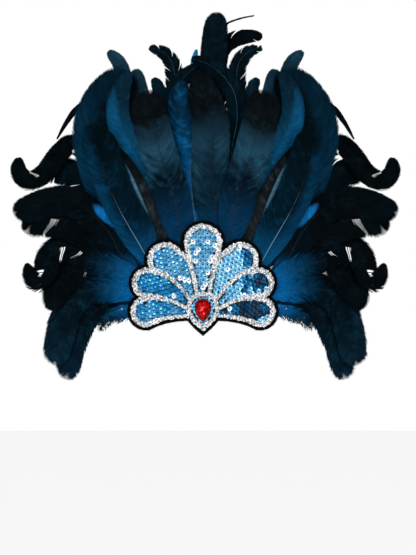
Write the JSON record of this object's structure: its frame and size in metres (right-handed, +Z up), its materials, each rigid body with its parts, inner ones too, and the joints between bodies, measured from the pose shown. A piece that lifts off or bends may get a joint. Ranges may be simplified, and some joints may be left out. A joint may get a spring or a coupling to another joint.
{
  "type": "showgirl feather headdress",
  "caption": "Tall fan of dyed rooster plumes behind a scalloped sequin applique with a red stone, on an elastic head loop.",
  "frame": {"origin": "centre of the head loop at half its height, where a head goes in", "axes": "+Z up out of the top of the head, -Y is the way the sequinned front faces, +X to the right as seen from the front"},
  "size_m": [0.4328, 0.2231, 0.4112],
  "materials": {
    "feather_ink": "near-black dyed rooster feather, soft sheen",
    "feather_teal": "dark teal dyed feather over a grey ground, soft sheen",
    "feather_blue": "bright blue dyed feather, soft sheen",
    "feather_brown": "brown-grey feather lightly tinted blue",
    "feather_hackle": "fluffy bright blue hackle down",
    "sequins_blue": "cupped sky blue sequins, glossy",
    "sequins_silver": "small silver sequins, metallised",
    "felt_black": "black craft felt, matt",
    "elastic_black": "black woven elastic, ribbed",
    "stone_red": "foil-backed faceted ruby red stone"
  },
  "bodies": {
    "root": {"outer_broad_left": "feather_blue", "outer_broad_right": "feather_blue", "inner_broad_left": "feather_teal", "inner_broad_right": "feather_teal", "short_dark_left": "feather_brown", "short_dark_right": "feather_brown", "wing_upper_left": "feather_ink", "wing_upper_right": "feather_ink", "twisted_left": "feather_blue", "twisted_right": "feather_blue", "wing_lower_left": "feather_ink", "wing_lower_right": "feather_ink", "arched_broad_left": "feather_teal", "arched_broad_right": "feather_teal", "curl_upper_left": "feather_ink", "curl_upper_right": "feather_ink", "blunt_left": "feather_teal", "blunt_right": "feather_teal", "whip_left": "feather_ink", "whip_right": "feather_ink", "curl_lower_left": "feather_ink", "curl_lower_right": "feather_ink", "horn_left": "feather_ink", "horn_right": "feather_ink", "hook_left": "feather_ink", "hook_right": "feather_ink", "ragged_left": "feather_teal", "ragged_right": "feather_teal", "drooping_outer_left": "feather_ink", "drooping_outer_right": "feather_ink", "gapped_left": "feather_blue", "gapped_right": "feather_blue", "notched_left": "feather_blue", "notched_right": "feather_blue", "drooping_inner_left": "feather_ink", "drooping_inner_right": "feather_ink", "middle_front": "feather_teal", "middle_blue": "feather_blue", "crossing_right": "feather_teal", "crossing_left": "feather_teal", "crest": "feather_ink", "crest_barred": "feather_ink", "crest_blue": "feather_blue", "crest_spike": "feather_ink", "hackle_tuft_left": "feather_hackle", "hackle_tuft_right": "feather_hackle", "petal_centre": "sequins_blue", "petal_upper_left": "sequins_blue", "petal_middle_left": "sequins_blue", "petal_lower_left": "sequins_blue", "petal_upper_right": "sequins_blue", "petal_middle_right": "sequins_blue", "petal_lower_right": "sequins_blue", "medallion": "sequins_blue", "silver_trim": "sequins_silver", "felt_backing": "felt_black", "quill_pad": "felt_black", "head_strap": "elastic_black", "red_stone": "stone_red"}
  },
  "joints": []
}
